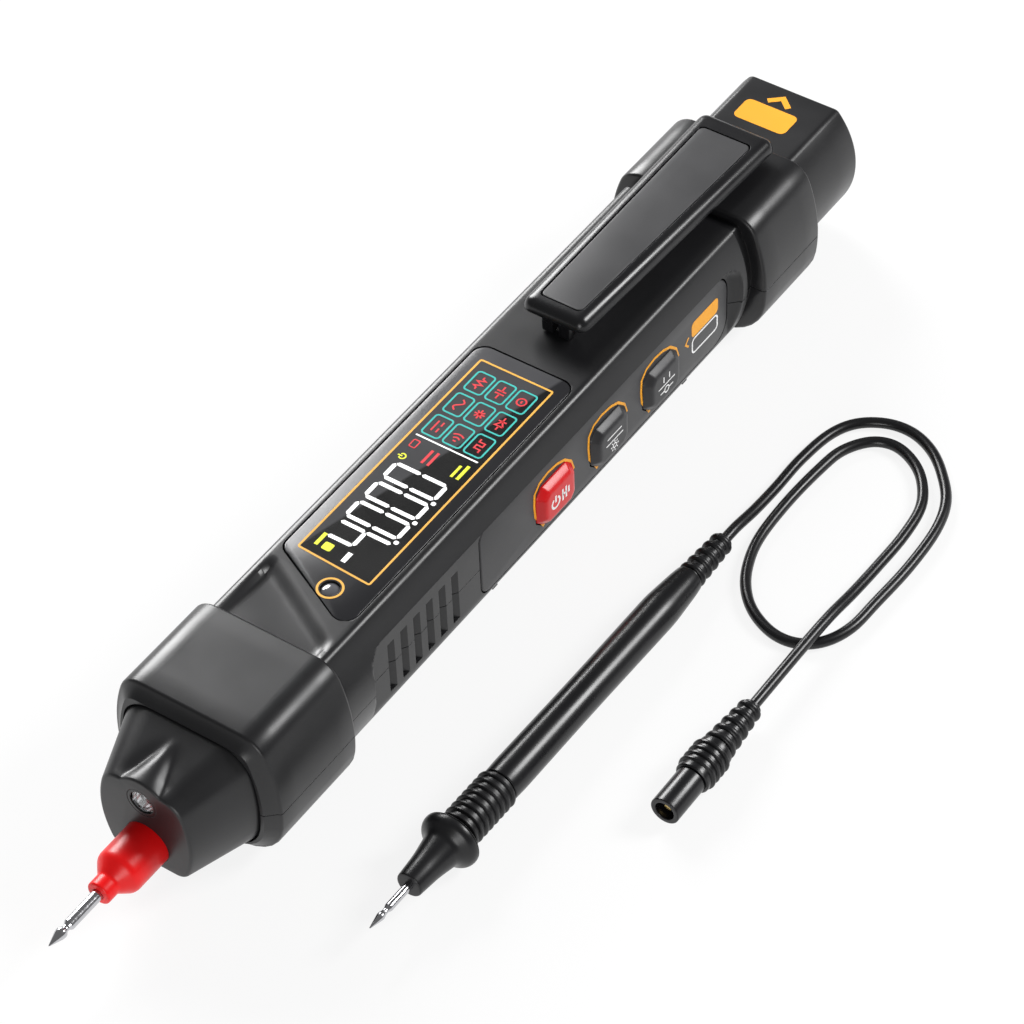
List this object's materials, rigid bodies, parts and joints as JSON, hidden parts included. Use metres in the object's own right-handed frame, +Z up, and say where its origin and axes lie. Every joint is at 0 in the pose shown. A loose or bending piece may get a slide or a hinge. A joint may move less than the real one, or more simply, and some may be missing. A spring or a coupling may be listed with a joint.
{
  "type": "pen multimeter",
  "caption": "Pen-shaped digital multimeter with display, side buttons, pocket clip, needle probe and torch in the nose, and a slim test lead with a shrouded plug.",
  "frame": {"origin": "on the flat back that the pen lies on, below the middle of the display", "axes": "+X along the pen to the lead socket, needle at -X; +Y away from the buttons; +Z up through the display"},
  "size_m": [0.2193, 0.0846, 0.0335],
  "materials": {
    "shell": "satin",
    "clip_plastic": "semi-gloss",
    "clip_plate": "satin",
    "panel": "gloss",
    "side_panel": "satin",
    "red_key": "gloss",
    "dark_key": "semi-gloss",
    "red_sleeve": "gloss",
    "steel": "polished",
    "screw_steel": "plated",
    "brass": "machined",
    "reflector": "mirror",
    "led_resin": "clear resin",
    "clear": "clear",
    "screen": "gloss",
    "white_plastic": "matte",
    "smoke": "gloss",
    "board": "solder mask",
    "chips": "moulded",
    "switch_metal": "plated",
    "ceramic_tube": "glazed",
    "copper": "bare copper",
    "cell_sleeve": "printed sleeve",
    "insert": "matte",
    "wire": "insulated",
    "lead_plastic": "semi-gloss",
    "lead_rubber": "soft"
  },
  "bodies": {
    "pen": {"upper_shell": "shell", "lower_shell": "shell", "socket_block": "shell", "nose_cone": "shell", "display_window": "panel", "button_panel": "side_panel", "probe_needle": "steel", "lead_tip": "steel", "shell_screws": "screw_steel", "cell_springs": "screw_steel", "cell_plates": "screw_steel", "needle_socket": "brass", "socket_contact": "brass", "plug_pin": "brass", "torch_reflector": "reflector", "torch_led": "led_resin", "torch_lens": "clear", "screen_module": "screen", "screen_frame": "white_plastic", "light_pipe": "smoke", "main_board": "board", "meter_chips": "chips", "buzzer": "chips", "light_sensor": "chips", "key_switches": "switch_metal", "input_fuse": "ceramic_tube", "field_antenna": "copper", "cell_1": "cell_sleeve", "cell_2": "cell_sleeve", "socket_insert": "insert", "inner_wires": "wire", "lead_handle": "lead_plastic", "plug_shroud": "lead_plastic", "lead_grip": "lead_rubber", "lead_strain_relief": "lead_rubber", "plug_strain_relief": "lead_rubber", "plug_body": "lead_rubber", "lead_cord": "lead_rubber"},
    "power_key": {"power_button": "red_key"},
    "hold_key": {"hold_button": "dark_key"},
    "mode_key": {"mode_button": "dark_key"},
    "clip": {"pocket_clip": "clip_plastic", "clip_plate": "clip_plate"},
    "needle_guard": {"needle_sleeve": "red_sleeve"},
    "door": {"battery_door": "shell", "door_screw": "screw_steel"}
  },
  "joints": [
    {"name": "power_press", "type": "slide", "parent": "pen", "child": "power_key", "axis": [0, 1, 0], "range_m": [0, 0.0008], "stiffness_N_per_m": 1200},
    {"name": "hold_press", "type": "slide", "parent": "pen", "child": "hold_key", "axis": [0, 1, 0], "range_m": [0, 0.0008], "stiffness_N_per_m": 1200},
    {"name": "mode_press", "type": "slide", "parent": "pen", "child": "mode_key", "axis": [0, 1, 0], "range_m": [0, 0.0008], "stiffness_N_per_m": 1200},
    {"name": "clip_flex", "type": "hinge", "parent": "pen", "child": "clip", "pos_m": [0.09025, 0, 0.028], "axis": [0, 1, 0], "range_deg": [0, 5], "stiffness_Nm_per_rad": 2},
    {"name": "guard_slide", "type": "slide", "parent": "pen", "child": "needle_guard", "axis": [-1, 0, 0], "range_m": [0, 0.012]},
    {"name": "door_swing", "type": "hinge", "parent": "pen", "child": "door", "pos_m": [0.005, 0, 0.0003], "axis": [0, 1, 0], "range_deg": [0, 60]}
  ]
}
